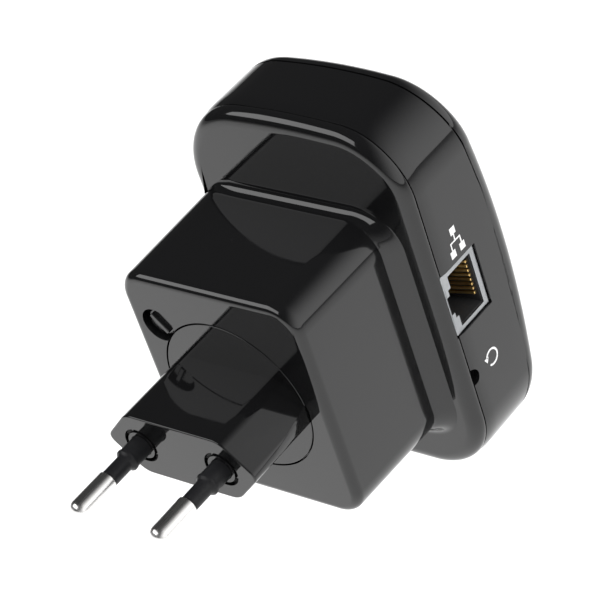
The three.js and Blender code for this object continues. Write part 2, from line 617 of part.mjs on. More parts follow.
// Reset key: upright switch body on the main board, and its plunger behind the half-round hole.
const RESET_BODY_X = [-24.6, -20.8];
const resetBody = box(RESET_BODY_X, [boardRoom, REAR_FACE_Y - WALL - 0.4], [RESET_Z - 3, RESET_Z + 3]);
const resetBore = crossRod(RESET_Y, RESET_Z, 1.65, [RESET_BODY_X[0] - 1, RESET_BODY_X[0] + 1.5]);
place('reset_switch', resetBody.subtract(resetBore), 0x1c1c1e, 0.5);
const resetTravelRoom = RESET_STROKE + GAP;
const plungerX = [SHELL_MINUS_X + WALL + GAP, RESET_BODY_X[0] + 1.5 - resetTravelRoom];
place('reset_plunger', crossRod(RESET_Y, RESET_Z, 1.3, plungerX), 0x26262a, 0.45);

// Front button with its flange and stem, over a small push switch on the main board.
const boardFront = MAIN_BOARD_Y - BOARD_T;
const SWITCH_TOP_Y = boardFront - 3.4;
const crown = dome(BUTTON_X, BUTTON_Z);
const wpsButton = turned([
  [0, crown - 0.5], [BUTTON_R - 0.6, crown - 0.4], [BUTTON_R, crown + 0.2], [BUTTON_R, crown + 3.0],
  [BUTTON_R + 0.9, crown + 3.0], [BUTTON_R + 0.9, crown + 3.6], [1.6, crown + 3.6],
  [1.6, SWITCH_TOP_Y - 1.2 - GAP], [0, SWITCH_TOP_Y - 1.2 - GAP],
].reverse(), BUTTON_X, BUTTON_Z, 36);
place('wps_button', wpsButton, GLOSS_BLACK, 0.2);
const switchY = [SWITCH_TOP_Y, boardFront - GAP];
const switchBody = box([BUTTON_X - 3, BUTTON_X + 3], switchY, [BUTTON_Z - 3, BUTTON_Z + 3]);
const switchBore = rod(BUTTON_X, BUTTON_Z, 1.8, [SWITCH_TOP_Y - 1, SWITCH_TOP_Y + 1.8]);
place('wps_switch', switchBody.subtract(switchBore), STEEL, 0.4, 1);
const stemY = [SWITCH_TOP_Y - 1.2, SWITCH_TOP_Y + 1.8 - BUTTON_STROKE - GAP];
place('wps_switch_stem', rod(BUTTON_X, BUTTON_Z, 1.5, stemY), 0x1a1a1c, 0.5);

// Three lights: a chip on the board and a clear pipe from it to the front skin.
LIGHT_XS.forEach((x, k) => {
  const top = dome(x, LIGHT_Z);
  const chipY = [boardFront - GAP - 0.8, boardFront - GAP];
  place(`led_${k + 1}`, box([x - 0.8, x + 0.8], chipY, [LIGHT_Z - 0.5, LIGHT_Z + 0.5]), 0xe9e7d2, 0.4);
  const pipe = turned([
    [0, top - 0.1], [LIGHT_R * 0.7, top], [LIGHT_R, top + 0.3], [LIGHT_R, top + WALL + GAP],
    [LIGHT_R + 0.6, top + WALL + GAP], [LIGHT_R + 0.6, top + WALL + 1.2], [LIGHT_R, top + WALL + 1.2],
    [LIGHT_R, chipY[0] - GAP], [0, chipY[0] - GAP],
  ].reverse(), x, LIGHT_Z);
  place(`light_pipe_${k + 1}`, pipe, 0xd8e2e6, 0.1);
});

export default extender;
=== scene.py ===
import math

import bmesh
import bpy
from mathutils import Matrix, Quaternion, Vector


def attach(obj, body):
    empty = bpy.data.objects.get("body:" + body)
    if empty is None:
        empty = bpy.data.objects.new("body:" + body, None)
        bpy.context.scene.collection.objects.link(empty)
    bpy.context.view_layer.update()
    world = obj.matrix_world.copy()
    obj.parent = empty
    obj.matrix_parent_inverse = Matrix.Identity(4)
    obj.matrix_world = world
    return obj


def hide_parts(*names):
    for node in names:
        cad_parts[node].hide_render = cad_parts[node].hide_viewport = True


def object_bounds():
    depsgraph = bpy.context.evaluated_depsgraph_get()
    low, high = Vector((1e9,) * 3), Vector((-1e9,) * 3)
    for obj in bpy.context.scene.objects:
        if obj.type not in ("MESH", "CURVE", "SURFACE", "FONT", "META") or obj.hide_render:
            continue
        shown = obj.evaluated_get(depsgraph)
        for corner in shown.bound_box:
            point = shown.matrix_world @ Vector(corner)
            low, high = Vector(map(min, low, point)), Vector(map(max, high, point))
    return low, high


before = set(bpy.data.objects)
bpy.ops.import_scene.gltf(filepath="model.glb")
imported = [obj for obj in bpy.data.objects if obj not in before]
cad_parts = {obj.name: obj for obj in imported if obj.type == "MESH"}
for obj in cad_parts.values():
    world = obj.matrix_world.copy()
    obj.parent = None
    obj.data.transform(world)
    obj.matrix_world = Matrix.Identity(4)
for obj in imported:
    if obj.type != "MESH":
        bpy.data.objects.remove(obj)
cad_box = [list(corner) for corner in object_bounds()]

# ---- Studio ----
# A pale table well below the unit, which hangs as it does on a wall socket. One soft box lights
# the table, and one draws a light band along the rolled edges. The room is bright low down on
# the port side and dark overhead.
FLOOR_DROP, TABLE_WIDTH = 0.10, 8

camera_data = bpy.data.cameras.new("camera")
camera = bpy.data.objects.new("camera", camera_data)
bpy.context.scene.collection.objects.link(camera)
camera_place = Vector((-0.29755, 0.22255, 0.28316))
camera_aim = Vector((-0.0084061, -0.0312437, 0.0131928))
CAMERA_ROLL = math.radians(-19.638)
camera.location = camera_place
camera.rotation_mode = "QUATERNION"
looking = (camera_aim - camera_place).to_track_quat("-Z", "Y")
camera.rotation_quaternion = looking @ Quaternion((0, 0, 1), CAMERA_ROLL)
camera_data.sensor_width = 36
camera_data.lens = 158.865
camera_data.clip_start = 0.01
bpy.context.scene.camera = camera
bpy.context.scene.view_settings.view_transform = "Standard"


def node(tree, kind, inputs=(), **settings):
    """Adds a shader node, with its plain settings and the values or links of its inputs."""
    made = tree.nodes.new(kind)
    for name, value in settings.items():
        setattr(made, name, value)
    for name, value in dict(inputs).items():
        if isinstance(value, bpy.types.NodeSocket):
            tree.links.new(value, made.inputs[name])
        else:
            made.inputs[name].default_value = value
    return made


def new_material(name):
    """An empty node material with its Principled shader, wired to the output."""
    material = bpy.data.materials.new(name)
    material.use_nodes = True
    tree = material.node_tree
    tree.nodes.clear()
    shader = node(tree, "ShaderNodeBsdfPrincipled")
    node(tree, "ShaderNodeOutputMaterial", {"Surface": shader.outputs["BSDF"]})
    return material, tree, shader


table_paint, tree, shader = new_material("table_paint")
place = node(tree, "ShaderNodeTexCoord").outputs["Object"]
mottle = node(tree, "ShaderNodeTexNoise", {"Vector": place, "Scale": 3.0, "Detail": 2.0})
tone = node(tree, "ShaderNodeValToRGB", {"Fac": mottle.outputs["Fac"]})
tone.color_ramp.elements[0].color = (0.88, 0.88, 0.88, 1)
tone.color_ramp.elements[1].color = (0.91, 0.91, 0.91, 1)
tree.links.new(tone.outputs["Color"], shader.inputs["Base Color"])
shader.inputs["Roughness"].default_value = 0.9

bpy.ops.mesh.primitive_plane_add(size=TABLE_WIDTH, location=(0, 0, cad_box[0][2] - FLOOR_DROP))
floor = bpy.context.object
floor.name = "table"
floor.data.materials.append(table_paint)



def soft_box(name, place, width, height, power, seen=True):
    """A soft box that points at the unit; an unseen one lights but leaves no reflection."""
    data = bpy.data.lights.new(name, "AREA")
    data.shape = "RECTANGLE"
    data.size = width
    data.size_y = height
    data.energy = power
    box = bpy.data.objects.new(name, data)
    bpy.context.scene.collection.objects.link(box)
    box.location = place
    box.rotation_mode = "QUATERNION"
    box.rotation_quaternion = (camera_aim - Vector(place)).to_track_quat("-Z", "Y")
    box.visible_glossy = seen
    return box


overhead = soft_box("overhead_soft_box", (-0.15, 0.1, 1.0), 1.5, 1.5, 25, seen=False)
band_light = soft_box("band_soft_box", (0.55, 0.80, 0.70), 1.05, 0.58, 6.0)

room = bpy.data.worlds.new("dim_room")
bpy.context.scene.world = room
room.use_nodes = True
sky = room.node_tree
ray = node(sky, "ShaderNodeTexCoord").outputs["Generated"]
PORT_SIDE_AND_DOWN = (-0.75, -0.25, -0.60)
towards_bright = node(sky, "ShaderNodeVectorMath", {0: ray, 1: PORT_SIDE_AND_DOWN}, operation="DOT_PRODUCT")
glow = node(sky, "ShaderNodeMapRange", {
    "Value": towards_bright.outputs["Value"], "From Min": -0.35, "From Max": 0.75,
    "To Min": 0.05, "To Max": 1.75}, interpolation_type="SMOOTHSTEP")
sky.links.new(glow.outputs["Result"], sky.nodes["Background"].inputs["Strength"])
sky.nodes["Background"].inputs["Color"].default_value = (1, 1, 1, 1)

# ---- Rear shell ----
# The back half of the case: a plate with a rolled rim, and the tall power block with a round
# seat for the plug head and a bore for the latch. One moulding in black ABS, polished in the
# tool and clipped to the side frame.
MM = 0.001
GAP = 0.3
WALL = 2.0
SHELL_PLUS_X, SHELL_MINUS_X = 22.5, -29.1
SHELL_TOP_Z, SHELL_BOTTOM_Z = 41.3, -35.3
SHELL_ARCH = 2.2
SEAM_Y, REAR_FACE_Y, END_FACE_Y = -46.2, -43.5, -17.3
RIM_IN = 3.0
BLOCK_X, BLOCK_Z, BLOCK_R = 21.0, 24.2, 6.0
BLOCK_EDGE, BLOCK_DRAFT, BLOCK_FILLET = 1.8, 0.5, 2.4
DISC_R, HUB_R = 16.1, 13.0
SEAT_ROOM = 0.3
SEAT_FLOOR_Y, SEAT_BACK_Y = -19.6, -21.6
LATCH_X, LATCH_Z, LATCH_R = 14.4, 12.9, 2.85
LATCH_ROOM, LATCH_RECESS = 0.4, 0.75
HUB_ROOM = 0.5
SHELL_MIDDLE = (-3.3, 5.0)
LIP_BREAK = 0.25


def rounded_outline(corners, inset=0.0, arc_steps=20, edge_steps=14):
    """Points of an outline of four rounded corners, each (x, z, radius), from the top on +X."""
    points = []
    for k, (x, z, radius) in enumerate(corners):
        for step in range(arc_steps + 1):
            angle = math.radians(90 * (k + step / arc_steps))
            reach = radius - inset
            points.append((x + reach * math.cos(angle), z + reach * math.sin(angle)))
        next_x, next_z, next_radius = corners[(k + 1) % 4]
        angle = math.radians(90 * (k + 1))
        last = Vector(points[-1])
        outward = Vector((math.cos(angle), math.sin(angle)))
        first = Vector((next_x, next_z)) + (next_radius - inset) * outward
        points += [tuple(last.lerp(first, step / edge_steps)) for step in range(1, edge_steps)]
    return points


def corner_centres(plus, minus, top, bottom, radii):
    """The four corner arcs of a rounded rectangle, in the order that rounded_outline takes."""
    signs = [(plus, top, 1, 1), (minus, top, -1, 1), (minus, bottom, -1, -1), (plus, bottom, 1, -1)]
    return [(x - sx * r, z - sz * r, r) for (x, z, sx, sz), r in zip(signs, radii)]


SHELL_CORNERS = corner_centres(
    SHELL_PLUS_X, SHELL_MINUS_X, SHELL_TOP_Z, SHELL_BOTTOM_Z, (15.5, 12.5, 14, 13))
BLOCK_CORNERS = corner_centres(BLOCK_X, -BLOCK_X, BLOCK_Z, -BLOCK_Z, [BLOCK_R] * 4)


def shell_ring(inset, depth, scale=1.0):
    """The case's outline, its top swollen into an arch, at a depth or a formula in x and z for it."""
    ring = []
    for x, z in rounded_outline(SHELL_CORNERS, inset):
        across = (2 * x - SHELL_PLUS_X - SHELL_MINUS_X) / (SHELL_PLUS_X - SHELL_MINUS_X)
        z += SHELL_ARCH * max(0.0, z / SHELL_TOP_Z) * (1 - across ** 2)
        x = SHELL_MIDDLE[0] + (x - SHELL_MIDDLE[0]) * scale
        z = SHELL_MIDDLE[1] + (z - SHELL_MIDDLE[1]) * scale
        ring.append((x, depth(x, z) if callable(depth) else depth, z))
    return ring


def block_ring(inset, depth):
    """The power block's outline; an outward inset dies out towards +X, as its root fillet does."""
    ring = []
    plain = rounded_outline(BLOCK_CORNERS, max(inset, -BLOCK_DRAFT))
    for (x, z), (out_x, out_z) in zip(plain, rounded_outline(BLOCK_CORNERS, inset)):
        t = min(1.0, max(0.0, (BLOCK_X - x - 1) / 8))
        share = t * t * (3 - 2 * t)
        ring.append((x + (out_x - x) * share, depth, z + (out_z - z) * share))
    return ring


def quarter_round(steps):
    """Steps of (inwards, along) round a quarter circle, both from 0 to 1."""
    angles = [step / steps * math.pi / 2 for step in range(steps + 1)]
    return [(1 - math.cos(angle), math.sin(angle)) for angle in angles]


def skin(rings):
    """A closed bmesh over rings of points: each is bridged to the next, and both ends are capped."""
    bm = bmesh.new()
    loops = []
    for ring in rings:
        verts = [bm.verts.new(point) for point in ring]
        loops.append([bm.edges.new(pair) for pair in zip(verts, verts[1:] + verts[:1])])
    bmesh.ops.contextual_create(bm, geom=loops[0])
    bmesh.ops.contextual_create(bm, geom=loops[-1])
    for one, other in zip(loops, loops[1:]):
        bmesh.ops.bridge_loops(bm, edges=one + other)
    bmesh.ops.recalc_face_normals(bm, faces=bm.faces)
    return bm


def rod(x, z, radius, y0, y1, sides=96, far_radius=None):
    """A round bar along Y through (x, z)."""
    bm = bmesh.new()
    bmesh.ops.create_cone(
        bm, cap_ends=True, segments=sides,
        radius1=far_radius or radius, radius2=radius, depth=y1 - y0)
    bmesh.ops.rotate(bm, verts=bm.verts, matrix=Matrix.Rotation(-math.pi / 2, 3, "X"))
    bmesh.ops.translate(bm, verts=bm.verts, vec=(x, (y0 + y1) / 2, z))
    return bm


def block(xs, ys, zs):
    """A box between two corners."""
    bm = bmesh.new()
    bmesh.ops.create_cube(bm, size=1)
    spans = list(zip(xs, ys, zs))
    size = Vector(spans[1]) - Vector(spans[0])
    bmesh.ops.scale(bm, verts=bm.verts, vec=size)
    bmesh.ops.translate(bm, verts=bm.verts, vec=(Vector(spans[0]) + Vector(spans[1])) / 2)
    return bm


def combined(bm, tools, operation="DIFFERENCE"):
    """Cuts tools from a bmesh, or joins or crosses them with it, by exact booleans."""
    for tool in tools:
        pair = []
        for part in (bm, tool):
            mesh = bpy.data.meshes.new("working")
            part.to_mesh(mesh)
            part.free()
            pair.append(bpy.data.objects.new("working", mesh))
            bpy.context.scene.collection.objects.link(pair[-1])
        cut = pair[0].modifiers.new("cut", "BOOLEAN")
        cut.operation = operation
        cut.solver = "EXACT"
        cut.object = pair[1]
        bpy.context.view_layer.update()
        bm = bmesh.new()
        bm.from_object(pair[0], bpy.context.evaluated_depsgraph_get())
        for working in pair:
            mesh = working.data
            bpy.data.objects.remove(working)
            bpy.data.meshes.remove(mesh)
        bmesh.ops.remove_doubles(bm, verts=bm.verts, dist=1e-4)
    return bm


def break_edges(bm, width, segments=3, sharper_than=40.0):
    """Rounds every edge that turns by more than an angle, as a tool's broken edge does."""
    limit = math.radians(sharper_than)
    sharp = [e for e in bm.edges if len(e.link_faces) == 2 and e.calc_face_angle(0) > limit]
    bmesh.ops.bevel(
        bm, geom=sharp, offset=width, offset_type="OFFSET", affect="EDGES", segments=segments,
        profile=0.5, material=-1, clamp_overlap=True)
    return bm


def finished(name, bm, material, body, replaces, smooth_below=38.0):
    """Makes the piece's object in metres, on its body and in place of its CAD nodes."""
    bmesh.ops.scale(bm, verts=bm.verts, vec=(MM, MM, MM))
    mesh = bpy.data.meshes.new(name)
    bm.to_mesh(mesh)
    bm.free()
    mesh.shade_smooth()
    mesh.set_sharp_from_angle(angle=math.radians(smooth_below))
    piece = bpy.data.objects.new(name, mesh)
    bpy.context.scene.collection.objects.link(piece)
    mesh.materials.append(material)
    weighted = piece.modifiers.new("flat_faces_stay_flat", "WEIGHTED_NORMAL")
    weighted.keep_sharp = True
    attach(piece, body)
    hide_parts(*replaces)


def surface_effect(name, outputs, inputs):
    """A shader node group with named inputs and outputs, and its input and output nodes."""
    group = bpy.data.node_groups.new(name, "ShaderNodeTree")
    for socket, kind in outputs:
        group.interface.new_socket(name=socket, in_out="OUTPUT", socket_type=kind)
    for socket, kind, value in inputs:
        made = group.interface.new_socket(name=socket, in_out="INPUT", socket_type=kind)
        made.default_value = value
    return group, group.nodes.new("NodeGroupInput"), group.nodes.new("NodeGroupOutput")


# Handling marks shared by the polished mouldings: faint smears, a few dust specks, and the
# slight waviness that moulded plastic keeps.
handled, given, gives = surface_effect(
    "handled_polish",
    [("Smear", "NodeSocketFloat"), ("Dust", "NodeSocketFloat"), ("Wave", "NodeSocketFloat")],
    [("Vector", "NodeSocketVector", (0, 0, 0)), ("Smear Size", "NodeSocketFloat", 60.0),
     ("Dust Size", "NodeSocketFloat", 900.0), ("Dust Amount", "NodeSocketFloat", 0.05)])
smear = node(handled, "ShaderNodeTexNoise", {
    "Vector": given.outputs["Vector"], "Scale": given.outputs["Smear Size"], "Detail": 5.0,
    "Roughness": 0.6, "Distortion": 1.2})
smear_range = node(handled, "ShaderNodeMapRange", {
    "Value": smear.outputs["Fac"], "From Min": 0.42, "From Max": 0.75})
speck = node(handled, "ShaderNodeTexVoronoi", {
    "Vector": given.outputs["Vector"], "Scale": given.outputs["Dust Size"]}, feature="F1")
speck_mask = node(handled, "ShaderNodeMapRange", {
    "Value": speck.outputs["Distance"], "From Min": 0.10, "From Max": 0.04})
speck_pick = node(handled, "ShaderNodeTexNoise", {"Vector": given.outputs["Vector"], "Scale": 340.0})
speck_few = node(handled, "ShaderNodeMapRange", {
    "Value": speck_pick.outputs["Fac"], "From Min": 0.62, "From Max": 0.7})
speck_here = node(handled, "ShaderNodeMath", {
    0: speck_mask.outputs["Result"], 1: speck_few.outputs["Result"]}, operation="MULTIPLY")
dust = node(handled, "ShaderNodeMath", {
    0: speck_here.outputs["Value"], 1: given.outputs["Dust Amount"]}, operation="MULTIPLY")
wave = node(handled, "ShaderNodeTexNoise", {
    "Vector": given.outputs["Vector"], "Scale": 38.0, "Detail": 1.0})
handled.links.new(smear_range.outputs["Result"], gives.inputs["Smear"])
handled.links.new(dust.outputs["Value"], gives.inputs["Dust"])
handled.links.new(wave.outputs["Fac"], gives.inputs["Wave"])


def polished_black(name, base, roughness, smear_gain, wave_height, dust_amount=0.05):
    """Polished black ABS: a dark base, smears that dull the gloss, dust specks, slight waviness."""
    material, tree, shader = new_material(name)
    place = node(tree, "ShaderNodeTexCoord").outputs["Object"]
    marks = node(tree, "ShaderNodeGroup", {"Vector": place, "Dust Amount": dust_amount}, node_tree=handled)
    colour = node(tree, "ShaderNodeMix", {
        "Factor": marks.outputs["Dust"], "A": (base, base, base * 1.06, 1), "B": (0.35, 0.34, 0.32, 1)},
        data_type="RGBA")
    tree.links.new(colour.outputs[2], shader.inputs["Base Color"])
    gloss = node(tree, "ShaderNodeMath", {
        0: marks.outputs["Smear"], 1: smear_gain, 2: roughness}, operation="MULTIPLY_ADD")
    dull = node(tree, "ShaderNodeMath", {
        0: marks.outputs["Dust"], 1: 0.5, 2: gloss.outputs["Value"]}, operation="MULTIPLY_ADD")
    tree.links.new(dull.outputs["Value"], shader.inputs["Roughness"])
    bump = node(tree, "ShaderNodeBump", {
        "Strength": 0.25, "Distance": wave_height, "Height": marks.outputs["Wave"]})
    tree.links.new(bump.outputs["Normal"], shader.inputs["Normal"])
    shader.inputs["IOR"].default_value = 1.52
    return material


case_black = polished_black("case_black", 0.0045, 0.05, 0.05, 0.0003)

rear_rings = [
    shell_ring(GAP + LIP_BREAK, SEAM_Y + GAP / 2),
    shell_ring(GAP + 0.07, SEAM_Y + GAP / 2 + 0.07),
]
rim_start = SEAM_Y + GAP / 2 + LIP_BREAK


def outside_block(ring):
    """Keeps a ring from passing under the block, whose +X wall stands over the rolled rim."""
    kept = []
    for x, y, z in ring:
        past = max(0.0, abs(z) - BLOCK_Z + BLOCK_R)
        corner_reach = math.sqrt(max(0.0, BLOCK_R ** 2 - past ** 2))
        wall_x = BLOCK_X - BLOCK_R + BLOCK_DRAFT + 0.02 + corner_reach
        kept.append((max(x, wall_x) if x > 0 and past < BLOCK_R else x, y, z))
    return kept


rear_rings += [
    outside_block(shell_ring(GAP + RIM_IN * inwards, rim_start + (REAR_FACE_Y - rim_start) * along))
    for inwards, along in quarter_round(12)]
ROOT_FLARE = 3.5


def root_ring(inwards, along):
    """A ring of the block's root: a hollow round it, opened to a slope on the port side."""
    ring = []
    hollow = block_ring(-BLOCK_DRAFT - BLOCK_FILLET * (1 - along), REAR_FACE_Y + BLOCK_FILLET * inwards)
    for x, y, z in hollow:
        t = min(1.0, max(0.0, (-x - BLOCK_X + BLOCK_R) / BLOCK_R))
        share = t * t * (3 - 2 * t)
        opened = max(0.0, ROOT_FLARE * (1 - inwards) - BLOCK_FILLET * (1 - along))
        ring.append((x - opened * share, y, z))
    return ring


rear_rings += [root_ring(inwards, along) for inwards, along in quarter_round(10)]
block_side = END_FACE_Y - BLOCK_EDGE
block_root = REAR_FACE_Y + BLOCK_FILLET
rear_rings += [block_ring(-BLOCK_DRAFT * k / 6, block_side + (block_root - block_side) * k / 6)
               for k in range(5, 0, -1)]
rear_rings += [block_ring(BLOCK_EDGE * inwards, block_side + BLOCK_EDGE * along)
               for inwards, along in quarter_round(10)]
plate_inset = WALL + GAP + 0.6
plate_room = skin([shell_ring(plate_inset, SEAM_Y - 1), shell_ring(plate_inset, REAR_FACE_Y - WALL)])
block_room = skin([block_ring(WALL, SEAM_Y - 1), block_ring(WALL, SEAT_BACK_Y)])

JACK_FACE_X = -28.7
JACK_Y, JACK_Z = (-56.45, -45.95), (-2.2, 11.3)
rear_cuts = [
    plate_room,
    block_room,
    rod(0, 0, DISC_R + SEAT_ROOM, SEAT_FLOOR_Y, 5, sides=160),
    rod(0, 0, HUB_R + HUB_ROOM, SEAT_BACK_Y - 3, 5, sides=128),
    rod(LATCH_X, LATCH_Z, LATCH_R + LATCH_ROOM, SEAT_BACK_Y - 3, 5, sides=64),
    rod(LATCH_X, LATCH_Z, LATCH_R + LATCH_RECESS, SEAT_FLOOR_Y, 5, sides=64),
    block(
        (SHELL_MINUS_X - 3, JACK_FACE_X + 15), (SEAM_Y - 2, JACK_Y[1] + GAP),
        (JACK_Z[0] - GAP, JACK_Z[1] + GAP)),
]
rear_shell = combined(skin(rear_rings), rear_cuts)
break_edges(rear_shell, 0.12, segments=2, sharper_than=50)
finished("rear_shell_moulding", rear_shell, case_black, "housing", ["rear_shell"])

# ---- Plug head ----
# The twist-off mains plug: a six-sided black boss on a round disc that sits flush in the seat,
# with a hub and three bayonet lugs behind it. One moulding in black ABS. A ring groove runs
# round the foot of each pin.
BOSS_FLAT_X, BOSS_TIP_X, BOSS_HALF_Z = 11.1, 17.9, 6.8
BOSS_CORNER_CUT = 1.7
DISC_BACK_Y, HUB_BACK_Y = -19.3, -23.4
LUG_R, LUG_TOP_Y, LUG_SPAN = 15.2, -21.9, 40
PIN_X, PIN_BORE_R = 9.5, 1.3
SLEEVE_COLLAR_R, COLLAR_HOLE_Y = 2.15, -2.9
GROOVE_OUT_R, GROOVE_IN_R, GROOVE_DEEP = 3.7, 2.95, 1.0
LATCH_ANGLE = math.degrees(math.atan2(LATCH_Z, LATCH_X))


def soft_polygon(corners, cut, depth, steps=8):
    """A ring at a depth round a polygon whose corners are rounded off from a cut before each."""
    ring = []
    points = [Vector(corner) for corner in corners]
    for k, corner in enumerate(points):
        start = corner + (points[k - 1] - corner).normalized() * cut
        end = corner + (points[(k + 1) % len(points)] - corner).normalized() * cut
        for step in range(steps + 1):
            t = step / steps
            spot = start.lerp(corner, t).lerp(corner.lerp(end, t), t)
            ring.append((spot.x, depth, spot.y))
    return ring


def boss_ring(depth, inset=0.0):
    """The boss's six-sided outline, wide tips on +X and -X."""
    flat = BOSS_FLAT_X - 0.4 * inset
    tip = BOSS_TIP_X - 1.4 * inset
    high = BOSS_HALF_Z - inset
    corners = [(flat, high), (-flat, high), (-tip, 0), (-flat, -high), (flat, -high), (tip, 0)]
    return soft_polygon(corners, BOSS_CORNER_CUT, depth)


def ring_sector(inner, outer, start, span, y0, y1):
    """A sector of a ring about the Y axis, angles in degrees from +X towards +Z."""
    bm = bmesh.new()
    section = [(inner, y0), (outer, y0), (outer, y1), (inner, y1)]
    face = bm.faces.new([bm.verts.new((x, y, 0)) for x, y in section])
    bmesh.ops.rotate(bm, verts=bm.verts, matrix=Matrix.Rotation(-math.radians(start), 3, "Y"))
    bmesh.ops.spin(
        bm, geom=[face] + face.edges[:] + face.verts[:], cent=(0, 0, 0), axis=(0, -1, 0),
        angle=math.radians(span), steps=24, use_merge=False)
    bmesh.ops.contextual_create(bm, geom=[e for e in bm.edges if len(e.link_faces) == 1])
    bmesh.ops.recalc_face_normals(bm, faces=bm.faces)
    return bm


edge_round = 0.35
boss_rings = [boss_ring(END_FACE_Y - 0.5)]
boss_rings += [
    boss_ring(-edge_round + edge_round * along, edge_round * inwards)
    for inwards, along in quarter_round(4)]
boss = skin(boss_rings)
taper = rod(0, 0, BOSS_TIP_X + 0.1, END_FACE_Y - 1, 1, sides=192, far_radius=DISC_R - 0.1)
boss = combined(boss, [taper], "INTERSECT")
disc = break_edges(rod(0, 0, DISC_R, DISC_BACK_Y, END_FACE_Y, sides=192), 0.15, segments=3)
hub = rod(0, 0, HUB_R, HUB_BACK_Y, DISC_BACK_Y + 0.5, sides=128)
plug_head = combined(boss, [disc, hub], "UNION")
pin_xs = (PIN_X, -PIN_X)
grooves = [
    combined(rod(x, 0, GROOVE_OUT_R, -GROOVE_DEEP, 1), [rod(x, 0, GROOVE_IN_R, -2, 2)]) for x in pin_xs]
collar_holes = [rod(x, 0, SLEEVE_COLLAR_R + 0.08, COLLAR_HOLE_Y, 1) for x in pin_xs]
pin_bores = [rod(x, 0, PIN_BORE_R, HUB_BACK_Y - 1, 1, sides=32) for x in pin_xs]
plug_head = combined(plug_head, grooves + collar_holes + pin_bores)
break_edges(plug_head, 0.08, segments=2, sharper_than=55)
for k in range(3):
    lug_start = LATCH_ANGLE + 10 + k * 120
    lug = ring_sector(HUB_R - 0.4, LUG_R, lug_start, LUG_SPAN, HUB_BACK_Y + 0.01, LUG_TOP_Y)
    plug_head = combined(plug_head, [lug], "UNION")
plug_black = polished_black("plug_black", 0.004, 0.045, 0.05, 0.0002, dust_amount=0.08)
finished("plug_head_moulding", plug_head, plug_black, "plug", ["plug_head"])

# ---- Mains pins and their sleeves ----
# Two 4 mm round brass pins, turned and nickel plated, with a polished dome at the tip. The
# inner half of each is sheathed in black nylon with a thicker collar where it leaves the boss.
PIN_R, PIN_LENGTH, PIN_CORE_R, PIN_TAIL_Y = 2.0, 19.0, 1.0, -24.4
PIN_BARE_FROM = 9.65
NOSE_LONG = PIN_R * 0.8
SLEEVE_R, SLEEVE_ROOT_Y, SLEEVE_END_Y = 1.68, -2.6, 9.35


def turned(profile, x=0.0, z=0.0, steps=72):
    """A piece turned about the line along Y through (x, z); the profile is (radius, y) points."""
    bm = bmesh.new()
    verts = [bm.verts.new((radius, y, 0)) for radius, y in profile]
    edges = [bm.edges.new(pair) for pair in zip(verts, verts[1:])]
    bmesh.ops.spin(
        bm, geom=verts + edges, cent=(0, 0, 0), axis=(0, 1, 0),
        angle=2 * math.pi, steps=steps, use_merge=True)
    bmesh.ops.remove_doubles(bm, verts=bm.verts, dist=1e-4)
    bmesh.ops.recalc_face_normals(bm, faces=bm.faces)
    bmesh.ops.translate(bm, verts=bm.verts, vec=(x, 0, z))
    return bm


# Fine parallel lines that turning, rolling or drawing leaves on metal, with dull patches.
drawn, given, gives = surface_effect(
    "drawn_lines",
    [("Lines", "NodeSocketFloat"), ("Patches", "NodeSocketFloat")],
    [("Vector", "NodeSocketVector", (0, 0, 0)), ("Stretch", "NodeSocketVector", (1, 1, 1)),
     ("Line Size", "NodeSocketFloat", 900.0), ("Patch Size", "NodeSocketFloat", 120.0)])
stretched = node(drawn, "ShaderNodeVectorMath", {
    0: given.outputs["Vector"], 1: given.outputs["Stretch"]}, operation="MULTIPLY")
lines = node(drawn, "ShaderNodeTexNoise", {
    "Vector": stretched.outputs["Vector"], "Scale": given.outputs["Line Size"], "Detail": 3.0})
patches = node(drawn, "ShaderNodeTexNoise", {
    "Vector": given.outputs["Vector"], "Scale": given.outputs["Patch Size"], "Detail": 3.0})
drawn.links.new(lines.outputs["Fac"], gives.inputs["Lines"])
drawn.links.new(patches.outputs["Fac"], gives.inputs["Patches"])


def drawn_metal(name, bright, dull, roughness, spread, stretch, relief=0.00002, patch=120.0):
    """A metal with fine lines in one direction and slightly duller patches."""
    material, tree, shader = new_material(name)
    place = node(tree, "ShaderNodeTexCoord").outputs["Object"]
    marks = node(tree, "ShaderNodeGroup", {
        "Vector": place, "Stretch": stretch, "Patch Size": patch}, node_tree=drawn)
    colour = node(tree, "ShaderNodeMix", {
        "Factor": marks.outputs["Patches"], "A": (*bright, 1), "B": (*dull, 1)}, data_type="RGBA")
    tree.links.new(colour.outputs[2], shader.inputs["Base Color"])
    rough = node(tree, "ShaderNodeMapRange", {
        "Value": marks.outputs["Lines"], "From Min": 0.3, "From Max": 0.7,
        "To Min": roughness, "To Max": roughness + spread})
    tree.links.new(rough.outputs["Result"], shader.inputs["Roughness"])
    bump = node(tree, "ShaderNodeBump", {
        "Strength": 0.3, "Distance": relief, "Height": marks.outputs["Lines"]})
    tree.links.new(bump.outputs["Normal"], shader.inputs["Normal"])
    shader.inputs["Metallic"].default_value = 1.0
    return material


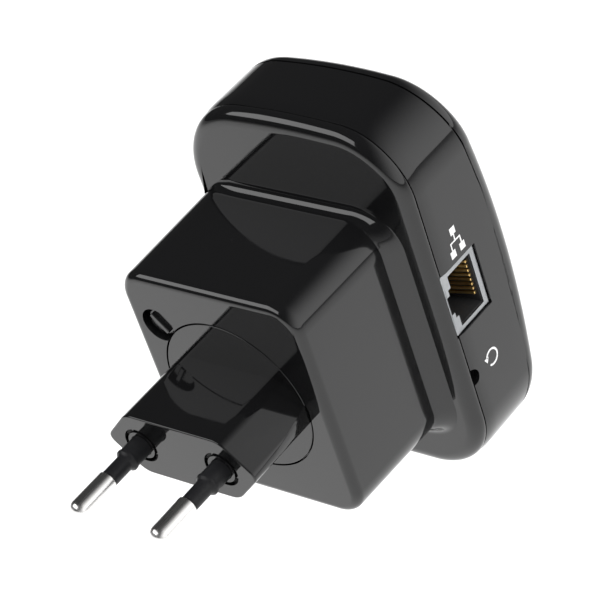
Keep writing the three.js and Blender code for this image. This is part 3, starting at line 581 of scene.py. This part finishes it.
# A fine moulded or cast texture: speckled colour, uneven gloss and a grain in the surface.
grained, given, gives = surface_effect(
    "moulded_grain",
    [("Speckle", "NodeSocketFloat"), ("Cloud", "NodeSocketFloat"), ("Grain", "NodeSocketFloat")],
    [("Vector", "NodeSocketVector", (0, 0, 0)), ("Grain Size", "NodeSocketFloat", 2500.0),
     ("Cloud Size", "NodeSocketFloat", 150.0)])
grain = node(grained, "ShaderNodeTexNoise", {
    "Vector": given.outputs["Vector"], "Scale": given.outputs["Grain Size"], "Detail": 2.0})
cells = node(grained, "ShaderNodeTexVoronoi", {
    "Vector": given.outputs["Vector"], "Scale": given.outputs["Grain Size"]}, feature="F1")
cloud = node(grained, "ShaderNodeTexNoise", {
    "Vector": given.outputs["Vector"], "Scale": given.outputs["Cloud Size"], "Detail": 4.0})
grained.links.new(cells.outputs["Distance"], gives.inputs["Speckle"])
grained.links.new(cloud.outputs["Fac"], gives.inputs["Cloud"])
grained.links.new(grain.outputs["Fac"], gives.inputs["Grain"])


def grained_plastic(name, colour, other, roughness, spread, grain_size=2500.0):
    """A moulded or coated surface between two colours, with grain and uneven gloss."""
    material, tree, shader = new_material(name)
    place = node(tree, "ShaderNodeTexCoord").outputs["Object"]
    marks = node(tree, "ShaderNodeGroup", {"Vector": place, "Grain Size": grain_size}, node_tree=grained)
    mixed = node(tree, "ShaderNodeMath", {
        0: marks.outputs["Speckle"], 1: marks.outputs["Cloud"]}, operation="MULTIPLY")
    paint = node(tree, "ShaderNodeMix", {
        "Factor": mixed.outputs["Value"], "A": (*colour, 1), "B": (*other, 1)}, data_type="RGBA")
    tree.links.new(paint.outputs[2], shader.inputs["Base Color"])
    rough = node(tree, "ShaderNodeMapRange", {
        "Value": marks.outputs["Cloud"], "From Min": 0.3, "From Max": 0.7,
        "To Min": roughness, "To Max": roughness + spread})
    tree.links.new(rough.outputs["Result"], shader.inputs["Roughness"])
    bump = node(tree, "ShaderNodeBump", {
        "Strength": 0.4, "Distance": 0.00003, "Height": marks.outputs["Grain"]})
    tree.links.new(bump.outputs["Normal"], shader.inputs["Normal"])
    return material


plated_pin = drawn_metal(
    "plated_pin", (0.86, 0.85, 0.84), (0.74, 0.73, 0.72), 0.20, 0.12, (1, 0.05, 1), 0.00001)
nylon_sleeve = grained_plastic("nylon_sleeve", (0.006, 0.006, 0.007), (0.012, 0.012, 0.012), 0.3, 0.14)
nylon_sleeve.node_tree.nodes["Principled BSDF"].inputs["Specular IOR Level"].default_value = 0.18
nose = [
    (PIN_R * (1 - inwards), PIN_LENGTH - NOSE_LONG * (1 - along))
    for inwards, along in quarter_round(12)]
for side, x in (("left", PIN_X), ("right", -PIN_X)):
    pin = turned([
        (0, PIN_TAIL_Y), (PIN_CORE_R, PIN_TAIL_Y), (PIN_CORE_R, PIN_BARE_FROM),
        (PIN_R - 0.1, PIN_BARE_FROM), (PIN_R, PIN_BARE_FROM + 0.1), *nose], x)
    finished(f"plated_pin_{side}", pin, plated_pin, "plug", [f"pin_{side}"])
    sleeve = turned([
        (PIN_BORE_R, SLEEVE_ROOT_Y), (SLEEVE_COLLAR_R, SLEEVE_ROOT_Y), (SLEEVE_COLLAR_R, 3.5),
        (2.3, 3.8), (2.3, 4.2), (2.2, 4.35), (1.85, 4.6), (SLEEVE_R, 5.1),
        (SLEEVE_R, SLEEVE_END_Y - 0.15), (1.6, SLEEVE_END_Y), (PIN_BORE_R, SLEEVE_END_Y),
        (PIN_BORE_R, SLEEVE_ROOT_Y)], x)
    finished(f"nylon_sleeve_{side}", sleeve, nylon_sleeve, "plug", [f"pin_sleeve_{side}"])

# ---- Release latch ----
# A small round key beside the disc, moulded in black with a slanted rib for a fingernail. A
# coil spring behind it keeps its tongue in the gap between two lugs until it is pressed.
LATCH_TOP_Y, LATCH_STEM_END_Y = -18.3, -31.6
FLANGE_Y = (-23.2, -22.0)
FLANGE_R, STEM_R = LATCH_R + 0.9, 1.2
RIB_TILT, RIB_RISE = math.radians(38), 0.7
latch = break_edges(rod(LATCH_X, LATCH_Z, LATCH_R, -22.6, LATCH_TOP_Y, sides=64), 0.25)
rib = block((-0.5, 0.5), (LATCH_TOP_Y - 1, LATCH_TOP_Y + RIB_RISE), (-LATCH_R + 0.5, LATCH_R - 0.5))
break_edges(rib, 0.2)
bmesh.ops.rotate(rib, verts=rib.verts, matrix=Matrix.Rotation(RIB_TILT, 3, "Y"))
bmesh.ops.translate(rib, verts=rib.verts, vec=(LATCH_X, 0, LATCH_Z))
tongue = block((HUB_R + 0.6, math.hypot(LATCH_X, LATCH_Z)), FLANGE_Y, (-1.3, 1.3))
bmesh.ops.rotate(tongue, verts=tongue.verts, matrix=Matrix.Rotation(-math.radians(LATCH_ANGLE), 3, "Y"))
flange = rod(LATCH_X, LATCH_Z, FLANGE_R, *FLANGE_Y, sides=64)
stem = rod(LATCH_X, LATCH_Z, STEM_R, LATCH_STEM_END_Y, -23.0, sides=32)
latch = combined(latch, [rib, flange, stem, tongue], "UNION")
latch_black = polished_black("latch_black", 0.007, 0.14, 0.08, 0.0002, dust_amount=0.12)
finished("latch_key", latch, latch_black, "latch", ["release_latch"])

spring_wire = drawn_metal("spring_wire", (0.60, 0.60, 0.60), (0.45, 0.45, 0.44), 0.25, 0.15, (1, 1, 1))


def coat(names, material):
    """Gives carried-over nodes their finish."""
    for name in names:
        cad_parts[name].data.materials.clear()
        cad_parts[name].data.materials.append(material)


coat(["latch_spring"], spring_wire)

# ---- Contact springs ----
# Two bent phosphor bronze leaves that press on the tails of the pins and carry the mains down
# to the power board, stamped and left bare.
bronze = drawn_metal("phosphor_bronze", (0.64, 0.42, 0.24), (0.45, 0.27, 0.15), 0.22, 0.18, (1, 0.1, 1))
coat(["contact_spring_left", "contact_spring_right"], bronze)

# ---- Power board ----
# The mains board inside the block: green glass-epoxy with a flyback transformer, two bulk
# capacitors, choke, fusible resistor and the supply chip, all wave soldered.
board_green, tree, shader = new_material("solder_mask")
place = node(tree, "ShaderNodeTexCoord").outputs["Object"]
tracks = node(tree, "ShaderNodeTexVoronoi", {
    "Vector": place, "Scale": 420.0, "Randomness": 0.35}, feature="DISTANCE_TO_EDGE", distance="EUCLIDEAN")
track_mask = node(tree, "ShaderNodeMapRange", {
    "Value": tracks.outputs["Distance"], "From Min": 0.10, "From Max": 0.16})
pads = node(tree, "ShaderNodeTexVoronoi", {"Vector": place, "Scale": 650.0}, feature="F1")
pad_mask = node(tree, "ShaderNodeMapRange", {
    "Value": pads.outputs["Distance"], "From Min": 0.16, "From Max": 0.12})
mask_paint = node(tree, "ShaderNodeMix", {
    "Factor": track_mask.outputs["Result"], "A": (0.05, 0.26, 0.10, 1), "B": (0.016, 0.12, 0.045, 1)},
    data_type="RGBA")
with_pads = node(tree, "ShaderNodeMix", {
    "Factor": pad_mask.outputs["Result"], "A": mask_paint.outputs[2], "B": (0.62, 0.60, 0.52, 1)},
    data_type="RGBA")
tree.links.new(with_pads.outputs[2], shader.inputs["Base Color"])
board_rough = node(tree, "ShaderNodeMapRange", {
    "Value": track_mask.outputs["Result"], "To Min": 0.3, "To Max": 0.45})
tree.links.new(board_rough.outputs["Result"], shader.inputs["Roughness"])
board_bump = node(tree, "ShaderNodeBump", {
    "Strength": 0.4, "Distance": 0.00003, "Height": tracks.outputs["Distance"]})
tree.links.new(board_bump.outputs["Normal"], shader.inputs["Normal"])
coat(["power_board", "main_board"], board_green)


def wound(name, colour, groove, roughness, turns_per_metre, direction, relief=0.0001):
    """A surface wound in layers: bands across one direction, with a shallow groove between."""
    material, tree, shader = new_material(name)
    place = node(tree, "ShaderNodeTexCoord").outputs["Object"]
    bands = node(tree, "ShaderNodeTexWave", {
        "Vector": place, "Scale": turns_per_metre, "Distortion": 0.4, "Detail": 2.0},
        wave_type="BANDS", bands_direction=direction)
    paint = node(tree, "ShaderNodeMix", {
        "Factor": bands.outputs["Fac"], "A": (*groove, 1), "B": (*colour, 1)}, data_type="RGBA")
    tree.links.new(paint.outputs[2], shader.inputs["Base Color"])
    cloud = node(tree, "ShaderNodeTexNoise", {"Vector": place, "Scale": 300.0, "Detail": 3.0})
    rough = node(tree, "ShaderNodeMapRange", {
        "Value": cloud.outputs["Fac"], "To Min": roughness, "To Max": roughness + 0.2})
    tree.links.new(rough.outputs["Result"], shader.inputs["Roughness"])
    bump = node(tree, "ShaderNodeBump", {
        "Strength": 0.5, "Distance": relief, "Height": bands.outputs["Fac"]})
    tree.links.new(bump.outputs["Normal"], shader.inputs["Normal"])
    return material


ferrite = grained_plastic("ferrite", (0.035, 0.035, 0.038), (0.09, 0.09, 0.09), 0.55, 0.25, 1800.0)
winding_tape = wound("winding_tape", (0.78, 0.60, 0.08), (0.50, 0.36, 0.04), 0.25, 260.0, "Y")
enamelled_wire = wound("enamelled_wire", (0.42, 0.15, 0.05), (0.12, 0.04, 0.02), 0.25, 900.0, "Y")
resistor_paint = wound(
    "resistor_paint", (0.20, 0.38, 0.33), (0.55, 0.40, 0.12), 0.35, 170.0, "Z", relief=0.00001)
black_can = wound(
    "can_sleeve_black", (0.02, 0.024, 0.035), (0.16, 0.17, 0.18), 0.2, 45.0, "X", relief=0.00001)
blue_can = wound(
    "can_sleeve_blue", (0.02, 0.07, 0.24), (0.30, 0.33, 0.38), 0.2, 45.0, "X", relief=0.00001)
coat(["transformer_core"], ferrite)
coat(["transformer_winding"], winding_tape)
coat(["choke_coil"], enamelled_wire)
coat(["fuse_resistor"], resistor_paint)
coat(["bulk_capacitor_1", "bulk_capacitor_2"], black_can)
coat(["output_capacitor"], blue_can)
chip_epoxy = grained_plastic("chip_epoxy", (0.014, 0.014, 0.015), (0.05, 0.05, 0.05), 0.45, 0.25, 4000.0)
coat(["bridge_rectifier", "supply_chip", "rectifier_diode"], chip_epoxy)

# ---- Main board ----
# The radio board behind the front panel, screwed to four posts. It carries a shield can, radio
# chip, line transformer, memory and two stamped steel antennas, and a plug-in link joins it to
# the power board.
tinned_steel = drawn_metal("tinned_steel", (0.40, 0.41, 0.42), (0.28, 0.29, 0.30), 0.26, 0.16, (0.08, 1, 1))
zinc_screw = drawn_metal(
    "zinc_screw", (0.62, 0.63, 0.66), (0.42, 0.43, 0.45), 0.25, 0.2, (1, 1, 1), 0.00003, patch=400.0)
coat([f"board_screw_{k}" for k in range(1, 5)], zinc_screw)
coat(["rf_shield_can", "antenna_side", "antenna_top"], tinned_steel)
coat(["wifi_chip", "lan_magnetics", "flash_chip"], chip_epoxy)
link_black = grained_plastic("link_black", (0.016, 0.016, 0.017), (0.04, 0.04, 0.04), 0.4, 0.2)
coat(["board_link"], link_black)

# ---- LAN jack ----
# A shielded eight-contact jack: tinned sheet steel folded round a black insert, with its lip
# turned in round the port and a stepped notch for the cable's latch. The contacts are
# gold-plated spring wires along the front side of the port.
SHEET, LIP = 0.4, 0.3
INSERT_ROOM = 0.6
JACK_BACK_X = JACK_FACE_X + 15.5
PORT_Y, PORT_Z = (-55.0, -47.9), (-1.05, 10.15)
PORT_MID_Z = (PORT_Z[0] + PORT_Z[1]) / 2
NOTCH_WIDE, NOTCH_NARROW, NOTCH_STEP = 3.1, 1.9, 0.8
shield = block((JACK_FACE_X, JACK_BACK_X), JACK_Y, JACK_Z)
break_edges(shield, 0.35, segments=4)


def inside_jack(front_x, back_x, wall):
    """A box in the jack's outline, a wall's thickness in on its four sides."""
    return block(
        (front_x, back_x), (JACK_Y[0] + wall, JACK_Y[1] - wall), (JACK_Z[0] + wall, JACK_Z[1] - wall))


def port_cutters(far_y, deep_x, room=0.0):
    """The port's opening and the two steps of its latch notch, as boxes from in front of the face."""
    xs = (JACK_FACE_X - 2, deep_x)
    port = block(xs, (PORT_Y[0] - room, PORT_Y[1] + room), (PORT_Z[0] - room, PORT_Z[1] + room))
    steps = [
        block(xs, (PORT_Y[1] - 1, step_y), (PORT_MID_Z - half, PORT_MID_Z + half))
        for half, step_y in ((NOTCH_WIDE, PORT_Y[1] + NOTCH_STEP + room), (NOTCH_NARROW, far_y))]
    return [port] + steps


shield_room = inside_jack(JACK_FACE_X + LIP, JACK_BACK_X - SHEET, SHEET)
shield = combined(shield, [shield_room] + port_cutters(JACK_Y[1] - 0.25, JACK_FACE_X + 1))
break_edges(shield, 0.06, segments=2, sharper_than=60)
finished("jack_shield", shield, tinned_steel, "housing", ["rj45_shield"])
insert = inside_jack(JACK_FACE_X + LIP + 0.05, JACK_BACK_X - INSERT_ROOM, INSERT_ROOM)
insert = combined(insert, port_cutters(JACK_Y[1] - 0.75, JACK_FACE_X + 12, room=-0.1))
break_edges(insert, 0.08, segments=2, sharper_than=60)
insert_black = grained_plastic("insert_black", (0.014, 0.014, 0.015), (0.035, 0.035, 0.035), 0.38, 0.2)
finished("jack_insert", insert, insert_black, "housing", ["rj45_insert"])

contact_gold = drawn_metal(
    "contact_gold", (1.0, 0.70, 0.28), (0.80, 0.50, 0.16), 0.28, 0.14, (0.1, 1, 1), 0.00001)
CONTACT_PITCH = 1.02
WIRE_X = (JACK_FACE_X + 1.2, JACK_FACE_X + 11.7)
WIRE_START_Y, WIRE_SLOPE, WIRE_HOOK = -54.6, 0.22, 0.2
for k in range(8):
    z = PORT_MID_Z + (k - 3.5) * CONTACT_PITCH
    wire = block(WIRE_X, (-0.25, 0.25), (z - 0.3, z + 0.3))
    break_edges(wire, 0.12, segments=3)
    for vert in wire.verts:
        into = vert.co.x - WIRE_X[0]
        vert.co.y += WIRE_START_Y + WIRE_SLOPE * into - WIRE_HOOK * math.exp(-into * into)
    finished(f"contact_wire_{k + 1}", wire, contact_gold, "housing", [f"rj45_contact_{k + 1}"])

# ---- Side frame ----
# The band between the two seams: one black moulding, open front and back, with the window for
# the jack and half of the hole for the reset key, whose other half is the seam itself.
FRONT_Y, DOME_MID_X, DOME_MID_Z = -67.4, -3.3, 5.0
DOME_R_X, DOME_R_Z = 300.0, 165.0
FRONT_ROUND, FRONT_SEAM = 3.0, 3.3
RESET_Z, RESET_HOLE_R = -12.2, 1.75
WINDOW_ROOM = 0.08


def behind_dome(depth):
    """The front panel's domed surface as a formula in x and z, moved back by a depth."""
    return lambda x, z: (FRONT_Y + depth + (x - DOME_MID_X) ** 2 / (2 * DOME_R_X)
                         + (z - DOME_MID_Z) ** 2 / (2 * DOME_R_Z))


frame_front = FRONT_SEAM + GAP / 2
outer_band = skin([
    shell_ring(GAP + 0.15, SEAM_Y), shell_ring(GAP + 0.04, SEAM_Y - 0.05), shell_ring(GAP, SEAM_Y - 0.15),
    shell_ring(0.05, SEAM_Y - 1.2), shell_ring(0, SEAM_Y - 3.0), shell_ring(0, SEAM_Y - 5.5),
    shell_ring(0, behind_dome(frame_front + 3.0)), shell_ring(0, behind_dome(frame_front + 0.15)),
    shell_ring(0.04, behind_dome(frame_front + 0.05)), shell_ring(0.15, behind_dome(frame_front))])
frame_room = skin([shell_ring(WALL, SEAM_Y + 1), shell_ring(WALL, FRONT_Y - 1)])
window = block(
    (SHELL_MINUS_X - 2, SHELL_MINUS_X + WALL + 3), (JACK_Y[0] - WINDOW_ROOM, 0),
    (JACK_Z[0] - WINDOW_ROOM, JACK_Z[1] + WINDOW_ROOM))
reset_hole = rod(0, 0, RESET_HOLE_R, -3, 3, sides=64)
bmesh.ops.rotate(reset_hole, verts=reset_hole.verts, matrix=Matrix.Rotation(math.pi / 2, 3, "Z"))
bmesh.ops.translate(reset_hole, verts=reset_hole.verts, vec=(SHELL_MINUS_X + 1, SEAM_Y, RESET_Z))
side_frame = combined(outer_band, [frame_room, window, reset_hole])
break_edges(side_frame, 0.06, segments=2, sharper_than=60)
finished("side_frame_moulding", side_frame, case_black, "housing", ["side_frame"])

# ---- Printed signs ----
# Two small white marks pad-printed on the port wall in a thin film of ink: three linked boxes
# above the jack, for the network, and a circling arrow beside the reset key.
INK = 0.02
white_ink = grained_plastic("white_ink", (0.80, 0.80, 0.80), (0.66, 0.66, 0.66), 0.4, 0.2, 1500.0)


def merged(parts):
    """Several bmeshes in one, side by side."""
    whole = bmesh.new()
    for part in parts:
        mesh = bpy.data.meshes.new("working")
        part.to_mesh(mesh)
        part.free()
        whole.from_mesh(mesh)
        bpy.data.meshes.remove(mesh)
    return whole


NETWORK_Y, NETWORK_Z, SIGN_BOX, SIGN_LINE = -52.1, 15.2, 1.5, 0.3


def ink_box(y, z, high, long):
    """A rectangle of the network sign, from the sign's middle."""
    y += NETWORK_Y
    z += NETWORK_Z
    return block(
        (SHELL_MINUS_X - INK, SHELL_MINUS_X + INK),
        (y - high / 2, y + high / 2), (z - long / 2, z + long / 2))


linked_boxes = merged([
    ink_box(0, 2.3, SIGN_BOX, SIGN_BOX), ink_box(-1.4, -2.0, SIGN_BOX, SIGN_BOX),
    ink_box(1.4, -2.0, SIGN_BOX, SIGN_BOX), ink_box(0, 0.95, SIGN_LINE, 1.2),
    ink_box(0, 0.2, 3.1, SIGN_LINE), ink_box(-1.4, -0.6, SIGN_LINE, 1.3),
    ink_box(1.4, -0.6, SIGN_LINE, 1.3)])
finished("network_sign", linked_boxes, white_ink, "housing", [])

RESET_SIGN_Y, RESET_SIGN_Z = -52.4, -11.9
ARROW_R, ARROW_START, ARROW_SPAN, HEAD_R = 1.6, 20, 290, 0.75
arrow = ring_sector(ARROW_R - 0.2, ARROW_R + 0.2, ARROW_START, ARROW_SPAN, -INK, INK)
head = bmesh.new()
bmesh.ops.create_cone(head, cap_ends=True, segments=3, radius1=HEAD_R, radius2=HEAD_R, depth=2 * INK)
bmesh.ops.rotate(head, verts=head.verts, matrix=Matrix.Rotation(-math.pi / 2, 3, "X"))
bmesh.ops.translate(head, verts=head.verts, vec=(ARROW_R, 0, 0.35))
arrow = merged([arrow, head])
bmesh.ops.rotate(arrow, verts=arrow.verts, matrix=Matrix.Rotation(math.pi / 2, 3, "Z"))
bmesh.ops.translate(arrow, verts=arrow.verts, vec=(SHELL_MINUS_X, RESET_SIGN_Y, RESET_SIGN_Z))
finished("reset_sign", arrow, white_ink, "housing", [])

# ---- Reset key ----
# A soft black plunger behind the half-round hole, moulded in rubber, in front of an upright
# switch that is soldered to the main board.
reset_rubber = grained_plastic("reset_rubber", (0.02, 0.02, 0.022), (0.05, 0.05, 0.05), 0.5, 0.2)
coat(["reset_plunger"], reset_rubber)
coat(["reset_switch"], link_black)

# ---- Front panel ----
# The domed black face of the unit, polished, clipped into the side frame. It has a round hole
# for the pairing button and three small ones for the lights.
BUTTON_X, BUTTON_Z, BUTTON_R = DOME_MID_X, -14.0, 4.4
LIGHT_Z, LIGHT_R, LIGHT_XS = 22.0, 1.3, (-10.3, -3.3, 3.7)
panel_seam = FRONT_SEAM - GAP / 2
DOME_STEPS, DOME_EYE = 22, 0.04
PANEL_INSET = WALL + 0.8
dome_scales = [DOME_EYE + (1 - DOME_EYE) * k / DOME_STEPS for k in range(DOME_STEPS)]
panel_rings = [shell_ring(FRONT_ROUND, behind_dome(0), scale) for scale in dome_scales]
panel_rings += [
    shell_ring(FRONT_ROUND * inwards, behind_dome(panel_seam * (1 - along)))
    for inwards, along in reversed(quarter_round(10))]
front_panel = skin(panel_rings)
panel_room = skin(
    [shell_ring(PANEL_INSET, behind_dome(WALL), scale) for scale in dome_scales]
    + [shell_ring(PANEL_INSET, behind_dome(WALL)), shell_ring(WALL, behind_dome(panel_seam + 1))])
through_panel = (FRONT_Y - 3, FRONT_Y + 9)
panel_holes = [rod(BUTTON_X, BUTTON_Z, BUTTON_R + 0.3, *through_panel, sides=96)]
panel_holes += [rod(x, LIGHT_Z, LIGHT_R + 0.2, *through_panel, sides=48) for x in LIGHT_XS]
front_panel = combined(front_panel, [panel_room] + panel_holes)
break_edges(front_panel, 0.12, segments=3, sharper_than=55)
finished("front_panel_moulding", front_panel, case_black, "housing", ["front_panel"])

# ---- Pairing button ----
# A round black push button with a shallow dish, standing flush in the panel over a small
# steel-bodied switch on the main board.
crown = behind_dome(0)(BUTTON_X, BUTTON_Z)
BOARD_FRONT_Y, SWITCH_HIGH, STEM_HIGH = -58.4, 3.4, 1.5
KEY_FLANGE_R, KEY_FOOT_R = BUTTON_R + 0.9, 1.6
key_foot = BOARD_FRONT_Y - SWITCH_HIGH - STEM_HIGH
button = turned([
    (0, crown - 0.15), (BUTTON_R * 0.5, crown - 0.25), (BUTTON_R - 0.7, crown - 0.45),
    (BUTTON_R - 0.25, crown - 0.38), (BUTTON_R, crown), (BUTTON_R, crown + 3.0),
    (KEY_FLANGE_R, crown + 3.0), (KEY_FLANGE_R, crown + 3.6), (KEY_FOOT_R, crown + 3.6),
    (KEY_FOOT_R, key_foot), (0, key_foot)], BUTTON_X, BUTTON_Z, steps=96)
button_black = polished_black("button_black", 0.008, 0.16, 0.08, 0.0002, dust_amount=0.06)
finished("pairing_button", button, button_black, "button", ["wps_button"])
coat(["wps_switch"], tinned_steel)
coat(["wps_switch_stem"], link_black)

# ---- Lights ----
# Three light pipes turned from clear acrylic, flush with the panel and held by a flange behind
# it. Each stands over a small lamp on the main board.
LAMP_TOP_Y = -59.8
acrylic, tree, shader = new_material("clear_acrylic")
place = node(tree, "ShaderNodeTexCoord").outputs["Object"]
haze = node(tree, "ShaderNodeTexNoise", {"Vector": place, "Scale": 700.0, "Detail": 3.0})
haze_tone = node(tree, "ShaderNodeMix", {
    "Factor": haze.outputs["Fac"], "A": (0.80, 0.86, 0.88, 1), "B": (0.66, 0.72, 0.75, 1)},
    data_type="RGBA")
tree.links.new(haze_tone.outputs[2], shader.inputs["Base Color"])
haze_rough = node(tree, "ShaderNodeMapRange", {
    "Value": haze.outputs["Fac"], "To Min": 0.12, "To Max": 0.3})
tree.links.new(haze_rough.outputs["Result"], shader.inputs["Roughness"])
shader.inputs["Transmission Weight"].default_value = 0.6
for k, x in enumerate(LIGHT_XS):
    top = behind_dome(0)(x, LIGHT_Z)
    pipe = turned([
        (0, top - 0.12), (LIGHT_R * 0.6, top - 0.06), (LIGHT_R * 0.9, top + 0.1), (LIGHT_R, top + 0.3),
        (LIGHT_R, top + 2.3), (LIGHT_R + 0.6, top + 2.3), (LIGHT_R + 0.6, top + 3.2), (LIGHT_R, top + 3.2),
        (LIGHT_R, LAMP_TOP_Y), (0, LAMP_TOP_Y)], x, LIGHT_Z, steps=48)
    finished(f"light_pipe_clear_{k + 1}", pipe, acrylic, "housing", [f"light_pipe_{k + 1}"])
lamp_phosphor = grained_plastic("lamp_phosphor", (0.85, 0.80, 0.45), (0.70, 0.62, 0.30), 0.3, 0.2, 1200.0)
coat([f"led_{k}" for k in range(1, 4)], lamp_phosphor)
